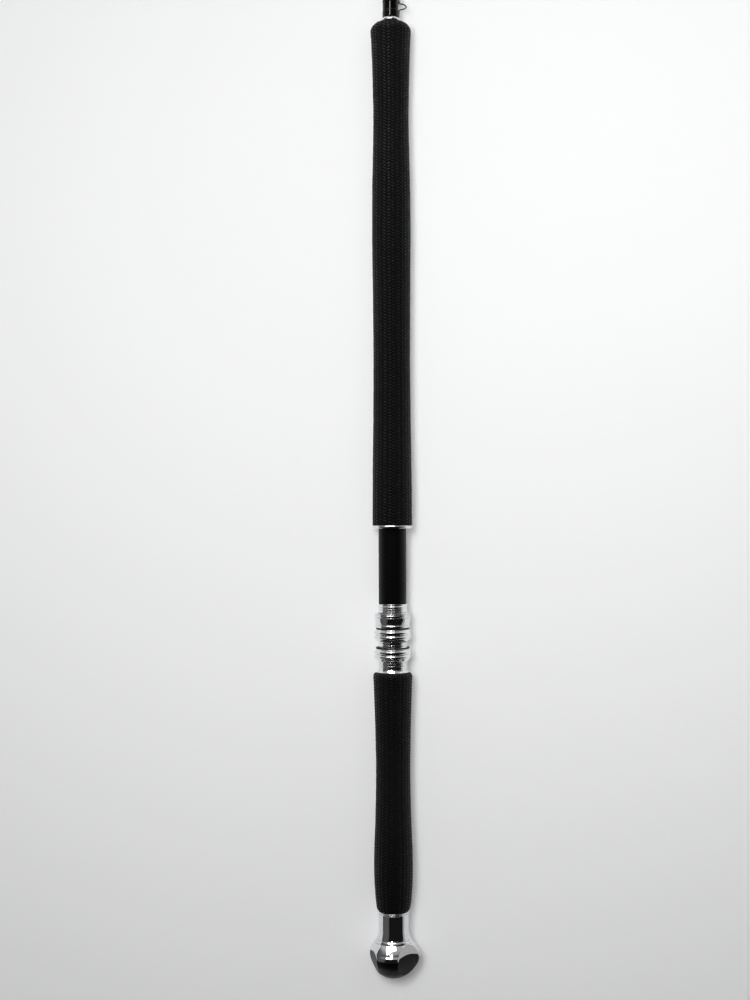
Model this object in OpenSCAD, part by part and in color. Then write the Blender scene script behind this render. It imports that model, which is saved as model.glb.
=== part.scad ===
// Butt section of a heavy spinning rod with a double-nut reel seat.
// The rod axis is the Y axis: +Y is towards the tip, +Z is up. The origin is on the rod axis
// at the face of the fixed hood, where the reel foot starts. Millimetres throughout.

/* [Blank] */
// Radius of the carbon blank at the winding check
blank_r = 7.4; // [6.6:0.1:7.4]
// How much the blank's radius grows for each millimetre towards the butt
blank_taper = 0.00265; // [0.001:0.0005:0.003]
// Wall thickness of the blank
blank_wall = 2.0; // [1.4:0.1:2.0]
// Station of the blank's open tip end
blank_tip_y = 550; // [530:5:700]
// Bore radius of the ferrule socket that takes the upper rod section
ferrule_bore_r = 5.2; // [4.6:0.1:5.2]
// Depth of the ferrule socket
ferrule_depth = 68; // [50:1:68]
// Length of the thread winding that reinforces the socket
ferrule_wrap_l = 44; // [30:1:45]
// Thickness of a thread winding with its resin
wrap_t = 0.25; // [0.2:0.05:0.5]

/* [Hook keeper] */
// Station of the middle of the keeper loop
keeper_y = 483.6; // [483.6:0.1:488]
// Distance between the two legs of the loop
keeper_leg_gap = 5.6; // [5.6:0.1:6.4]
// Wire radius of the keeper
keeper_wire_r = 0.6; // [0.5:0.05:0.7]
// Height of the loop's outer edge above the rod axis
keeper_top = 15.2; // [14:0.1:16]
// Length of each foot along the blank
keeper_foot_l = 6.5; // [5:0.5:7]

/* [Foregrip] */
// Station of the foregrip's tip end
foregrip_end_y = 469.6; // [469:0.1:470]
// Radius of the foregrip's front shoulder
foregrip_shoulder_r = 18.8; // [18:0.1:19.5]
// Radius of the foregrip's rear end
foregrip_rear_r = 18.4; // [18:0.1:18.6]
// Thickness of the woven sleeve on both grips
sleeve_t = 0.9; // [0.7:0.1:1.0]

/* [Reel seat] */
// Radius of the bare seat pipe
pipe_r = 12.85; // [12.5:0.05:12.85]
// Station where the bare pipe meets the threaded barrel
pipe_end_y = -70.9; // [-71.2:0.1:-70.9]
// Crest radius of the barrel's thread
thread_crest_r = 13.5; // [13.45:0.05:13.5]
// Thread depth
thread_depth = 0.55; // [0.4:0.05:0.6]
// Thread pitch: how far a nut travels in one turn
thread_pitch = 2.4; // [2.4:0.1:2.4]
// Flange radius of the fixed hood
fixed_flange_r = 18.6; // [18.5:0.1:18.8]
// Station of the movable hood's mouth
hood_mouth_y = -79.2; // [-79.2:0.1:-79]
// Length of the movable hood
hood_l = 13.4; // [13.4:0.1:13.4]
// Rim radius of the movable hood
hood_rim_r = 16.6; // [16.4:0.1:16.8]
// How far the hood bulges on the reel side
hood_bulge = 2.6; // [2.6:0.1:3.0]
// Half width of the reel foot pockets
pocket_half_w = 10; // [9:0.5:11]
// Ridge radius of the lock nuts
nut_ridge_r = 17.3; // [17:0.1:17.6]
// Length of a lock nut
nut_l = 11.4; // [11.4:0.1:11.4]
// Station of the front lock nut's face
front_nut_y = -94; // [-94:0.1:-93.9]
// Station of the rear lock nut's face
rear_nut_y = -112.1; // [-112.1:0.1:-112]
// Thickness of the nylon washers in front of the nuts
washer_t = 1.0; // [0.8:0.1:1.1]
// Width of the keyway along the barrel
keyway_w = 4.0; // [3.5:0.1:4.5]

/* [Rear grip] */
// Station of the rear grip's front end
reargrip_front_y = -134.4; // [-134.4:0.1:-134.4]
// Station of the rear grip's butt end
reargrip_end_y = -355.7; // [-356:0.1:-355.7]
// Radius of the rear grip's front shoulder
reargrip_shoulder_r = 18.2; // [17.5:0.1:18.5]

/* [Butt cap] */
// Radius of the butt hub's neck
neck_r = 13.9; // [13.7:0.1:14.1]
// Largest radius of the crown
crown_r = 24.3; // [24.2:0.1:24.5]
// Station of the crown's widest edge
crown_y = -394.5; // [-394.5:0.1:-394.3]
// End of the rubber dome
dome_end_y = -417.6; // [-418:0.1:-417.4]
// Distance from the rod axis to an anti-roll flat at the crown's widest edge
flat_d = 19.7; // [19.5:0.1:20.4]
// Turn of the first anti-roll flat from straight up, towards +X
flat_turn = 43.5; // [0:0.5:119]

/* [Hidden] */

$fn = 96;
eps = 0.01;
// Glue line between the blank and what is bonded on it.
glue = 0.1;
// Running clearance of the hood and nuts on the barrel.
run_gap = 0.06;

check_y = foregrip_end_y + 0.1;
check_l = 3.0;
blank_end_y = -384;
hood_flange_front = -0.65;
hood_flange_back = 1.9;
hood_body_r = 16.6;
hood_body_l = 24;
// How far the pipe reaches into the foregrip past the fixed hood.
pipe_buried_l = 8;
spigot_r = 12.2;
spigot_l = 12;
seat_bore_r = 11.0;
barrel_tail_r = 12.9;
barrel_tail_y = -150;
thread_start_y = -72.5;
thread_end_y = -129.5;
collar_y = -131.2;
neck_top_y = reargrip_end_y - 2.3;
web_front_y = -386;
web_back_y = -389.9;
hub_bore_r = 12.0;
stud_r = 3.0;
seat_gap = 0.08;
// Inside radius of the thin lip that holds the dome's edge.
seat_lip_r = 23.1;
dome_edge_y = -397.6;

// Radius of the blank's outside at a station.
function blank_out(y) = blank_r + (check_y - y) * blank_taper;

// Points of a smooth curve through the given stations, n steps for each stretch.
function blend(a, b, c, d, t) =
    0.5 * (2 * b + (c - a) * t + (2 * a - 5 * b + 4 * c - d) * t * t
        + (3 * b - a - 3 * c + d) * t * t * t);
function smooth(p, n) = concat(
    [for (i = [0:len(p) - 2], k = [0:n - 1])
        blend(p[max(i - 1, 0)], p[i], p[i + 1], p[min(i + 2, len(p) - 1)], k / n)],
    [p[len(p) - 1]]);

// Moves an outline of [radius, station] points in towards the axis.
function thinner(p, t) = [for (q = p) [q[0] - t, q[1]]];

// A solid of revolution about the rod axis, from [radius, station] points.
module turned(points) {
    rotate([-90, 0, 0]) rotate_extrude() polygon(points);
}

// A plain cylinder about the rod axis.
module rod_cylinder(r, y0, y1) {
    translate([0, y0, 0]) rotate([-90, 0, 0]) cylinder(r = r, h = y1 - y0);
}

// A tube that fits the tapered blank, with its own outside radius at each end.
module blank_tube(y0, y1, r0, r1) {
    turned([[blank_out(y0) + glue, y0], [r0, y0], [r1, y1], [blank_out(y1) + glue, y1]]);
}

// ---- Blank and windings

module blank() color("#101113") {
    turned([[blank_out(blank_end_y) - blank_wall, blank_end_y], [blank_out(blank_end_y), blank_end_y],
        [blank_out(blank_tip_y), blank_tip_y], [ferrule_bore_r, blank_tip_y],
        [ferrule_bore_r, blank_tip_y - ferrule_depth],
        [blank_out(blank_tip_y - ferrule_depth) - blank_wall - 0.1, blank_tip_y - ferrule_depth]]);
}

// A thread winding with tapered ends; rise is how far it climbs over what lies under it.
module winding(y0, y1, rise0, rise1) {
    ramp = 0.8;
    turned([[blank_out(y0) + 0.02, y0],
        [blank_out(y0) + 0.12, y0],
        [blank_out(y0) + rise0, y0 + ramp],
        [blank_out(y1) + rise1, y1 - ramp],
        [blank_out(y1) + 0.12, y1],
        [blank_out(y1) + 0.02, y1]]);
}

module ferrule_wrap() color("#15120f") {
    winding(blank_tip_y - ferrule_wrap_l - 2, blank_tip_y - 2, wrap_t, wrap_t);
}

keeper_wrap_gap = keeper_leg_gap / 2 + keeper_wire_r + 0.1;

// The windings hold the keeper's feet, so each has a channel that the wire lies in.
module foot_channel() {
    foot_bar(keeper_wire_r + 0.03);
}

module foot_bar(r) {
    for (side = [-1, 1]) {
        start = keeper_y + side * keeper_leg_gap / 2;
        stop = start + side * keeper_foot_l;
        translate([foot_x, min(start, stop), 0]) rotate([-90, 0, 0])
            cylinder(r = r, h = abs(stop - start), $fn = 32);
    }
}

foot_x = blank_out(keeper_y - 10) + 0.72;

module keeper_wrap_front() color("#1a1411") difference() {
    winding(keeper_y + keeper_wrap_gap, keeper_y + keeper_wrap_gap + 10, wrap_t + 1.2, wrap_t);
    foot_channel();
}

module keeper_wrap_rear() color("#1a1411") difference() {
    winding(check_y + check_l + 0.2, keeper_y - keeper_wrap_gap, wrap_t, wrap_t + 1.2);
    foot_channel();
}

// Bent wire loop: two feet along the blank, two legs straight out, and a round top.
module hook_keeper() color("#8d9094") {
    bend_r = keeper_leg_gap / 2;
    top_x = keeper_top - keeper_wire_r - bend_r;
    foot_bar(keeper_wire_r);
    for (side = [-1, 1])
        translate([foot_x, keeper_y + side * bend_r, 0]) {
            sphere(r = keeper_wire_r, $fn = 32);
            rotate([0, 90, 0]) cylinder(r = keeper_wire_r, h = top_x - foot_x, $fn = 32);
        }
    translate([top_x, keeper_y, 0]) rotate([0, 0, -90])
        rotate_extrude(angle = 180, $fn = 64) translate([bend_r, 0]) circle(r = keeper_wire_r, $fn = 32);
}

module winding_check() color("#d7dadd") {
    r = blank_out(check_y) + glue;
    turned(concat([[r, check_y + check_l], [r, check_y]],
        smooth([[r + 1.1, check_y], [r + 1.5, check_y + 0.7], [r + 1.1, check_y + 2.0],
            [r + 0.4, check_y + check_l]], 4)));
}

// ---- Foregrip

// Outline of the foregrip from its tip end to the fixed hood.
foregrip_outline = smooth([
    [9.0, foregrip_end_y - 0.2], [13.4, foregrip_end_y - 1.6], [16.4, foregrip_end_y - 3.8],
    [18.15, foregrip_end_y - 6.4], [foregrip_shoulder_r, 460], [18.3, 453], [17.6, 436],
    [16.7, 401], [16.45, 379], [16.95, 345], [17.65, 312], [17.9, 267], [17.45, 223],
    [17.06, 156], [17.35, 108], [17.95, 66], [18.25, 30], [foregrip_rear_r, 2.5]], 3);

module foregrip_core() color("#2b2b2c") {
    core_end_y = foregrip_end_y - sleeve_t;
    difference() {
        turned(concat([[blank_out(core_end_y) + glue, core_end_y]],
            [for (q = thinner(foregrip_outline, sleeve_t))
                if (q[0] > blank_out(core_end_y) + 1.5) [q[0], min(q[1], core_end_y)]],
            [[foregrip_rear_r - sleeve_t, 2.0], [blank_out(2) + glue, 2.0]]));
        rod_cylinder(hood_body_r + 0.1, -5, hood_body_l + 0.3);
        rod_cylinder(pipe_r + 0.1, -5, hood_body_l + pipe_buried_l + 0.3);
    }
}

module foregrip_sleeve() color("#161617") {
    inner = [for (i = [len(foregrip_outline) - 1:-1:0])
        [foregrip_outline[i][0] - sleeve_t + 0.03, min(foregrip_outline[i][1], foregrip_end_y - sleeve_t + 0.05)]];
    turned(concat([[8.2, foregrip_end_y]], foregrip_outline,
        [[foregrip_rear_r - 0.3, 2.0], [foregrip_rear_r - sleeve_t + 0.03, 2.0]], inner,
        [[8.2, foregrip_end_y - sleeve_t + 0.05]]));
}

// ---- Reel seat

// Slot for the reel foot on the underside, between the pipe and a skin of radius r.
module foot_pocket(r, drop, y0, y1) {
    intersection() {
        translate([0, 0, -drop]) rod_cylinder(r, y0, y1);
        translate([-pocket_half_w, y0, -30]) cube([2 * pocket_half_w, y1 - y0, 30]);
    }
}

module fixed_hood() color("#d9dcdf") difference() {
    turned(concat(
        [[pipe_r + 0.05, hood_flange_front]],
        [[fixed_flange_r - 0.5, hood_flange_front]],
        smooth([[fixed_flange_r - 0.5, hood_flange_front], [fixed_flange_r, hood_flange_front + 0.9],
            [fixed_flange_r, hood_flange_back - 0.9], [fixed_flange_r - 0.4, hood_flange_back]], 4),
        [[hood_body_r, hood_flange_back], [hood_body_r, hood_body_l - 1], [hood_body_r - 1, hood_body_l],
            [pipe_r + 0.05, hood_body_l]]));
    foot_pocket(17.2, 0, -5, 1.7);
    foot_pocket(15.7, 0, 1.0, 15);
}

module fixed_hood_cushion() color("#232325") difference() {
    foot_pocket(15.62, 0, 3, 14.9);
    rod_cylinder(15.0, 0, 13.8);
    rod_cylinder(pipe_r + 0.05, 0, 20);
}

module seat_pipe() color("#131416") difference() {
    rod_cylinder(pipe_r, pipe_end_y, hood_body_l + pipe_buried_l);
    rod_cylinder(seat_bore_r, pipe_end_y - 1, hood_body_l + pipe_buried_l + 1);
    rod_cylinder(spigot_r + 0.05, pipe_end_y - 1, pipe_end_y + spigot_l + 0.5);
}

// Ridges stand for the thread: one ring for each turn.
module threaded_barrel() color("#cfd2d5") {
    root_r = thread_crest_r - thread_depth;
    turns = floor((thread_start_y - thread_end_y) / thread_pitch);
    crests = [for (i = [0:turns - 1])
        let (y = thread_start_y - i * thread_pitch)
            for (q = [[root_r, y], [thread_crest_r, y - 0.9], [thread_crest_r, y - 1.3],
                [root_r, y - 2.2]]) q];
    difference() {
        turned(concat(
            [[seat_bore_r, pipe_end_y + spigot_l], [spigot_r, pipe_end_y + spigot_l],
                [spigot_r, pipe_end_y], [root_r, pipe_end_y]],
            crests,
            [[root_r, thread_end_y - 0.2], [barrel_tail_r, thread_end_y - 0.6],
                [barrel_tail_r, barrel_tail_y], [seat_bore_r, barrel_tail_y]]));
        translate([-keyway_w / 2, thread_end_y, -20])
            cube([keyway_w, pipe_end_y - thread_end_y + eps, 20 - seat_bore_r - 1.1]);
    }
}

module arbor(y0, y1) {
    blank_tube(y0, y1, seat_bore_r - 0.05, seat_bore_r - 0.05);
}

module seat_arbor_front() color("#b59b6a") arbor(6, 30);
module seat_arbor_middle() color("#b59b6a") arbor(-58, -34);
module seat_arbor_rear() color("#b59b6a") arbor(-148, -124);

// Key that runs in the barrel's keyway and stops a piece from turning.
module key(y0, y1) {
    depth = 0.9;
    translate([-keyway_w / 2 + 0.05, y0, -thread_crest_r - 0.4])
        cube([keyway_w - 0.1, y1 - y0, depth + 0.4]);
}

// The hood's outside as a function of how far it is behind its mouth.
hood_outline = concat(
    [[hood_rim_r - 0.3, hood_mouth_y], [hood_rim_r, hood_mouth_y - 0.25],
        [hood_rim_r, hood_mouth_y - 0.7], [hood_rim_r - 0.65, hood_mouth_y - 1.0],
        [hood_rim_r - 0.65, hood_mouth_y - 1.4]],
    smooth([[hood_rim_r - 0.2, hood_mouth_y - 1.7], [hood_rim_r + 0.1, hood_mouth_y - 2.6],
        [hood_rim_r - 0.2, hood_mouth_y - 3.5]], 3),
    [[hood_rim_r - 0.7, hood_mouth_y - 3.8], [hood_rim_r - 0.7, hood_mouth_y - 4.2]],
    smooth([[hood_rim_r - 0.05, hood_mouth_y - 4.6], [hood_rim_r - 0.25, hood_mouth_y - 7.4],
        [hood_rim_r - 1.0, hood_mouth_y - 10.4]], 4),
    [[hood_rim_r - 1.5, hood_mouth_y - 10.7]],
    smooth([[hood_rim_r - 0.9, hood_mouth_y - 11.1], [hood_rim_r - 0.5, hood_mouth_y - 12.1],
        [hood_rim_r - 0.9, hood_mouth_y - hood_l]], 3));

module movable_hood() color("#d3d6d9") {
    bore = thread_crest_r + run_gap;
    solid = concat([[0, hood_mouth_y]], hood_outline, [[0, hood_mouth_y - hood_l]]);
    difference() {
        union() {
            turned(solid);
            intersection() {
                translate([0, 0, -hood_bulge]) turned(solid);
                translate([-40, hood_mouth_y - 10.5, -40]) cube([80, 10.5, 40]);
            }
        }
        rod_cylinder(bore, hood_mouth_y - hood_l - 1, hood_mouth_y + 1);
        foot_pocket(hood_rim_r - 0.9, hood_bulge, hood_mouth_y - 9, hood_mouth_y + 1);
    }
    key(hood_mouth_y - hood_l, hood_mouth_y - 9.2);
}

module movable_hood_cushion() color("#232325") difference() {
    foot_pocket(hood_rim_r - 0.95, hood_bulge, hood_mouth_y - 8.95, hood_mouth_y - 1.2);
    translate([0, 0, -hood_bulge]) rod_cylinder(hood_rim_r - 1.5, hood_mouth_y - 8.2, hood_mouth_y);
    rod_cylinder(thread_crest_r + 0.3, hood_mouth_y - 12, hood_mouth_y + 2);
}

module washer(face_y) {
    difference() {
        rod_cylinder(15.5, face_y, face_y + washer_t);
        rod_cylinder(thread_crest_r + run_gap, face_y - 1, face_y + washer_t + 1);
    }
}

module hood_washer() color("#1d1d1f") washer(front_nut_y + 0.1);

module rear_nut_washer() color("#1d1d1f") {
    washer(rear_nut_y + 0.1);
    key(rear_nut_y + 0.1, rear_nut_y + 0.1 + washer_t);
}

// A ring nut with two rounded finger ridges and a coned rear end.
module lock_nut(face_y) {
    bore = thread_crest_r + run_gap;
    difference() {
        turned(concat(
            [[bore - 1, face_y], [15.1, face_y], [15.6, face_y - 0.5], [15.7, face_y - 1.2]],
            smooth([[16.1, face_y - 1.7], [17.0, face_y - 2.4], [nut_ridge_r, face_y - 3.4],
                [17.0, face_y - 4.4], [16.15, face_y - 5.55], [17.0, face_y - 6.7],
                [nut_ridge_r, face_y - 7.7], [17.0, face_y - 8.6], [16.3, face_y - 9.2]], 3),
            [[14.5, face_y - nut_l + 0.3], [14.1, face_y - nut_l], [bore - 1, face_y - nut_l]]));
        rod_cylinder(bore, face_y - nut_l - 1, face_y + 1);
    }
}

module front_lock_nut() color("#d3d6d9") lock_nut(front_nut_y);
module rear_lock_nut() color("#d3d6d9") lock_nut(rear_nut_y);

module seat_collar() color("#d9dcdf") {
    turned(concat([[barrel_tail_r + 0.05, reargrip_front_y + 0.05], [barrel_tail_r + 0.05, collar_y]],
        smooth([[13.5, collar_y], [13.8, collar_y - 0.8], [14.3, collar_y - 1.8],
            [15.0, reargrip_front_y + 0.3]], 3),
        [[14.8, reargrip_front_y + 0.05]]));
}

// ---- Rear grip

reargrip_outline = smooth([
    [13.4, reargrip_front_y], [16.4, reargrip_front_y - 0.4], [17.9, reargrip_front_y - 2.0],
    [reargrip_shoulder_r, -139], [17.8, -147], [17.3, -162], [16.55, -188], [16.0, -216],
    [16.0, -236], [16.5, -263], [17.2, -282], [17.85, -299], [18.05, -314], [17.7, -330],
    [16.75, -344], [15.8, -352], [14.9, -354.4], [14.0, reargrip_end_y]], 3);

module rear_grip_core() color("#2b2b2c") {
    difference() {
        turned(concat([[blank_out(reargrip_front_y) + glue, reargrip_front_y - sleeve_t]],
            [for (q = thinner(reargrip_outline, sleeve_t)) [q[0], min(q[1], reargrip_front_y - sleeve_t)]],
            [[blank_out(reargrip_end_y) + glue, reargrip_end_y]]));
        rod_cylinder(barrel_tail_r + 0.1, barrel_tail_y - 0.3, reargrip_front_y + 5);
    }
}

module rear_grip_sleeve() color("#161617") {
    inner = [for (i = [len(reargrip_outline) - 1:-1:0])
        [reargrip_outline[i][0] - sleeve_t + 0.03, min(reargrip_outline[i][1], reargrip_front_y - sleeve_t + 0.05)]];
    difference() {
        turned(concat(reargrip_outline, inner));
        rod_cylinder(barrel_tail_r + 0.1, barrel_tail_y, reargrip_front_y + 5);
    }
}

// ---- Butt cap

module neck_ring() color("#d9dcdf") {
    front = reargrip_end_y - 0.05;
    back = neck_top_y + 0.05;
    inner = hub_bore_r + 0.2;
    turned(concat([[inner, front]],
        smooth([[neck_r - 0.1, front], [neck_r + 0.35, front - 0.5], [neck_r + 0.35, front - 1.0],
            [neck_r - 0.1, front - 1.5]], 3),
        [[neck_r - 0.4, front - 1.6], [neck_r - 0.4, back], [inner, back]]));
}

// The three anti-roll flats: each is straight on the crown and bends inwards along the dome.
module flat_cutter() {
    for (turn = [flat_turn, flat_turn + 120, flat_turn + 240])
        rotate([0, turn, 0]) rotate([90, 0, 90])
            translate([0, 0, -30]) linear_extrude(height = 60)
                polygon([[-384.4, flat_d - 1.6], [crown_y - 0.2, flat_d], [-399, flat_d - 0.3],
                    [-402.2, flat_d - 0.95], [-406, flat_d - 2.2], [-414, flat_d - 5.4],
                    [-414, 40], [-384.4, 40]]);
}

module butt_hub() color("#dfe2e4") difference() {
    turned(concat(
        [[hub_bore_r, web_front_y], [hub_bore_r, neck_top_y], [neck_r - 0.3, neck_top_y],
            [neck_r, neck_top_y - 0.3]],
        smooth([[neck_r, -374.3], [neck_r + 0.45, -377.2], [15.0, -379.5], [15.6, -380.9]], 3),
        [[15.4, -381.0], [15.4, -381.4], [16.3, -381.5], [17.5, -383.6], [17.2, -383.7],
            [17.2, -384.1]],
        smooth([[18.2, -384.2], [20.3, -387.2], [22.2, -390.5], [23.25, -392.6],
            [crown_r, crown_y]], 3),
        [[crown_r - 0.5, dome_edge_y], [seat_lip_r, -394.6], [20.2, -393.0], [15, web_back_y],
            [stud_r + 0.05, web_back_y], [stud_r + 0.05, web_front_y]]));
    flat_cutter();
}

module butt_arbor() color("#b59b6a") {
    blank_tube(blank_end_y, -362, hub_bore_r - 0.05, hub_bore_r - 0.05);
}

module butt_dome() color("#0c0c0d") difference() {
    turned(concat(
        [[0, -404], [stud_r + 0.05, -404], [stud_r + 0.05, web_back_y - seat_gap],
            [15, web_back_y - seat_gap], [20.2, -393.0 - seat_gap],
            [seat_lip_r - seat_gap, -394.6 - seat_gap],
            [crown_r - 0.5 - seat_gap, dome_edge_y - seat_gap]],
        smooth([[crown_r - 0.45, dome_edge_y - 0.3], [23.5, -400.0], [22.7, -402.5], [20.9, -405.6],
            [18.1, -409.1], [14.5, -412.7], [8.8, -416.2], [3.2, dome_end_y + 0.12],
            [0, dome_end_y]], 3)));
    flat_cutter();
}

module dome_stud() color("#9a9da0") {
    rod_cylinder(stud_r, -403.8, web_front_y + 1.9);
}

module stud_nut() color("#9a9da0") difference() {
    translate([0, web_front_y + 0.02, 0]) rotate([-90, 0, 0]) cylinder(r = 5.4, h = 1.8, $fn = 6);
    rod_cylinder(stud_r + 0.02, web_front_y - 1, web_front_y + 4);
}

blank();
ferrule_wrap();
keeper_wrap_front();
keeper_wrap_rear();
hook_keeper();
winding_check();
foregrip_core();
foregrip_sleeve();
fixed_hood();
fixed_hood_cushion();
seat_pipe();
threaded_barrel();
seat_arbor_front();
seat_arbor_middle();
seat_arbor_rear();
movable_hood();
movable_hood_cushion();
hood_washer();
front_lock_nut();
rear_nut_washer();
rear_lock_nut();
seat_collar();
rear_grip_core();
rear_grip_sleeve();
neck_ring();
butt_hub();
butt_arbor();
butt_dome();
dome_stud();
stud_nut();
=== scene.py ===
import math

import bmesh
import bpy
import numpy as np
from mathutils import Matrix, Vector


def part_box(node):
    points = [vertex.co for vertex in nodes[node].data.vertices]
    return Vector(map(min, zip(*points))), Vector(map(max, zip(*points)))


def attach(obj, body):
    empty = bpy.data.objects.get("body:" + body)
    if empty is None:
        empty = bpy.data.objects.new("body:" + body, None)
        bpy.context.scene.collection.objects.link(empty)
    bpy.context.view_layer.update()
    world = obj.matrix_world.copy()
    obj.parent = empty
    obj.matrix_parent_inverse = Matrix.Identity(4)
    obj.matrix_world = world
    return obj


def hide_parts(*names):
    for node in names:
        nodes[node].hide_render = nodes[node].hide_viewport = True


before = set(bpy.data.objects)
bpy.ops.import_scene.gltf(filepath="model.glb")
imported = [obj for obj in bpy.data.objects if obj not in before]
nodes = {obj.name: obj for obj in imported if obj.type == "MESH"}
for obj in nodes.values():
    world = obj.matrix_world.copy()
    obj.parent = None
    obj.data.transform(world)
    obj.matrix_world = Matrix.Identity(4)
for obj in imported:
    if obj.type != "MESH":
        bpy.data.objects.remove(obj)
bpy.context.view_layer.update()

MM = 0.001
TAU = 2 * math.pi

# Sizes repeated from the CAD source, in millimetres. Stations run along the rod axis, +Y to the tip.
CHECK_Y = 469.7
TIP_Y = 550.0
KEEPER_Y = 483.6
LEG_GAP = 5.6
PIPE_R = 12.85
THREAD_CREST = 13.5
THREAD_DEPTH = 0.55
THREAD_PITCH = 2.4
HOOD_MOUTH = -79.2
HOOD_BULGE = 2.6
RUN_R = 13.56
FRONT_NUT = -94.0
REAR_NUT = -112.1
GRIP_FRONT = -134.4
GRIP_END = -355.7
SLEEVE_T = 0.9
CROWN_R = 24.3
CROWN_Y = -394.5
FLAT_TURN = 43.5
FLAT_D = 19.7
BRAID_COLUMNS = 26
BRAID_PITCH = 2.87
BRAID_SLANT = 0.62
FOREGRIP_SHOULDER = 460.0

# Edges that turn by more degrees than this stay sharp.
SHARP = 38


def blank_out(y):
    """Radius of the blank's outside at a station."""
    return 7.4 + (CHECK_Y - y) * 0.00265


# ---- Outlines


def smooth(points, steps=8):
    """A smooth curve through the points, as the CAD source draws it but finer."""
    p = np.array(points, float)
    out = []
    for i in range(len(p) - 1):
        a, b = p[max(i - 1, 0)], p[i]
        c, d = p[i + 1], p[min(i + 2, len(p) - 1)]
        for t in np.arange(steps) / steps:
            out.append(
                0.5
                * (
                    2 * b
                    + (c - a) * t
                    + (2 * a - 5 * b + 4 * c - d) * t**2
                    + (3 * b - a - 3 * c + d) * t**3
                )
            )
    return [list(q) for q in out] + [list(p[-1])]


def softened(points, size=0.2, steps=4):
    """Rounds the corners of a closed outline, so that machined edges catch the light."""
    p = np.array(points, float)
    keep = np.linalg.norm(p - np.roll(p, 1, 0), axis=1) > 1e-5
    p = p[keep]
    out = []
    for i in range(len(p)):
        a, b, c = p[i - 1], p[i], p[(i + 1) % len(p)]
        u, v = a - b, c - b
        lu, lv = np.linalg.norm(u), np.linalg.norm(v)
        turn = math.pi - math.acos(float(np.clip(u @ v / (lu * lv), -1, 1)))
        if turn < 0.3 or b[0] < 1e-6:
            out.append(b)
            continue
        d = min(size, 0.42 * lu, 0.42 * lv)
        start, stop = b + u / lu * d, b + v / lv * d
        for t in np.arange(steps + 1) / steps:
            out.append((1 - t) ** 2 * start + 2 * t * (1 - t) * b + t * t * stop)
    return np.array(out)


# ---- Meshes


def grid_object(name, x, y, z, uv=None, closed=True, sharp=SHARP):
    """A surface through rows of points, joined round each row, and from the last row to the first if
    closed."""
    rows, cols = x.shape
    verts = np.stack([x, y, z], -1).reshape(-1, 3) * MM
    i = np.arange(rows if closed else rows - 1)[:, None]
    j = np.arange(cols)[None, :]
    i2, j2 = (i + 1) % rows, (j + 1) % cols
    corners = [i * cols + j, i * cols + j2, i2 * cols + j2, i2 * cols + j]
    faces = np.stack(corners, -1).reshape(-1, 4)
    mesh = bpy.data.meshes.new(name)
    mesh.from_pydata(verts.tolist(), [], faces.tolist())
    if uv is not None:
        per_corner = [
            np.stack([w[i, j], w[i, j + 1], w[i2, j + 1], w[i2, j]], -1) for w in uv
        ]
        layer = mesh.uv_layers.new(name="weave")
        layer.data.foreach_set("uv", np.stack(per_corner, -1).reshape(-1).astype(np.float32))
    obj = bpy.data.objects.new(name, mesh)
    bpy.context.scene.collection.objects.link(obj)
    finish_mesh(obj, sharp)
    return obj


def finish_mesh(obj, sharp):
    """Joins points that coincide, turns the faces outwards and sets smooth shading with sharp edges."""
    bm = bmesh.new()
    bm.from_mesh(obj.data)
    bmesh.ops.remove_doubles(bm, verts=bm.verts, dist=1e-7)
    bmesh.ops.dissolve_degenerate(bm, edges=bm.edges, dist=1e-8)
    bmesh.ops.recalc_face_normals(bm, faces=bm.faces)
    bm.to_mesh(obj.data)
    bm.free()
    obj.data.shade_smooth()
    obj.data.set_sharp_from_angle(angle=math.radians(sharp))


def even_angles(count):
    return np.arange(count) * TAU / count


def lathe(name, outline, count=192, shape=None, angles=None, closed=True, sharp=SHARP):
    """Turns a closed [radius, station] outline about the rod axis. Angles run from +Z towards +X.
    shape(radius, station, angle) may change the radius."""
    outline = np.array(outline, float)
    theta = even_angles(count) if angles is None else np.array(angles)
    r = np.repeat(outline[:, :1], len(theta), 1)
    y = np.repeat(outline[:, 1:], len(theta), 1)
    t = np.repeat(theta[None, :], len(outline), 0)
    if shape:
        r = shape(r, y, t)
    return grid_object(name, r * np.sin(t), y, r * np.cos(t), None, closed, sharp)


def resampled(points, spacing):
    """The outline with extra points, so that no stretch is longer than the spacing."""
    out = []
    p = np.array(points, float)
    for a, b in zip(p[:-1], p[1:]):
        n = max(1, int(math.ceil(np.linalg.norm(b - a) / spacing)))
        out += [list(a + (b - a) * k / n) for k in range(n)]
    return out + [list(p[-1])]


def away_from(angle, centre):
    """Signed difference of two angles in radians, from -pi to pi."""
    return (angle - centre + math.pi) % TAU - math.pi


def tube(name, path, wide, tall, sides=20):
    """A bent wire in the plane of X and Y, with its own half width in and across that plane at each point."""
    p = np.array(path, float)
    along = np.gradient(p, axis=0)
    along /= np.linalg.norm(along, axis=1)[:, None]
    side = np.stack([-along[:, 1], along[:, 0]], -1)
    t = even_angles(sides)[None, :]
    x = p[:, :1] + side[:, :1] * np.cos(t) * np.array(wide)[:, None]
    y = p[:, 1:2] + side[:, 1:2] * np.cos(t) * np.array(wide)[:, None]
    z = np.sin(t) * np.array(tall)[:, None]
    return grid_object(name, x, y, z, None, closed=False)


def evaluated_mesh(obj):
    """Applies the object's modifiers."""
    graph = bpy.context.evaluated_depsgraph_get()
    mesh = bpy.data.meshes.new_from_object(obj.evaluated_get(graph))
    obj.modifiers.clear()
    obj.data = mesh


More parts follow.
